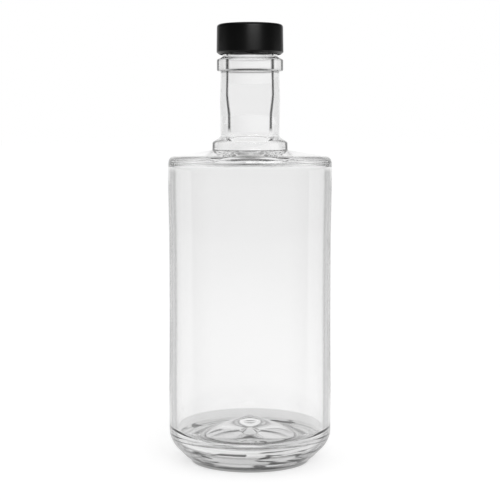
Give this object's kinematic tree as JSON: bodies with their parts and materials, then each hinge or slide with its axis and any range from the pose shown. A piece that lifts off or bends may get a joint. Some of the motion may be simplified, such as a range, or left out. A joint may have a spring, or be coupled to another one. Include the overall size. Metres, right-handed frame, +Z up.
{
  "type": "glass bottle with screw cap",
  "caption": "Clear glass spirits bottle with a straight round body, nearly flat shoulder, collared neck, heavy punted base and black screw cap.",
  "frame": {"origin": "on the bottle's axis, in the plane of the bearing ring that the base stands on", "axes": "+Z up along the bottle's axis, towards the cap; X and Y are across the round body"},
  "size_m": [0.0872, 0.0872, 0.2331],
  "materials": {
    "clear_glass": "clear polished flint glass",
    "black_plastic": "satin black moulded plastic",
    "white_foam": "smooth closed-cell foam"
  },
  "bodies": {
    "bottle": {"bottle": "clear_glass"},
    "liner": {"cap_liner": "white_foam"},
    "cap": {"screw_cap": "black_plastic"}
  },
  "joints": [
    {"name": "cap_lift", "type": "slide", "parent": "bottle", "child": "liner", "axis": [0, 0, 1], "range_m": [0, 0.00635]},
    {"name": "cap_twist", "type": "hinge", "parent": "liner", "child": "cap", "pos_m": [0, 0, 0.22], "axis": [0, 0, 1], "range_deg": [0, 540]}
  ],
  "couplings": [
    {"joint": "cap_lift", "follows": "cap_twist", "m_per_rad": 0.0006737}
  ]
}
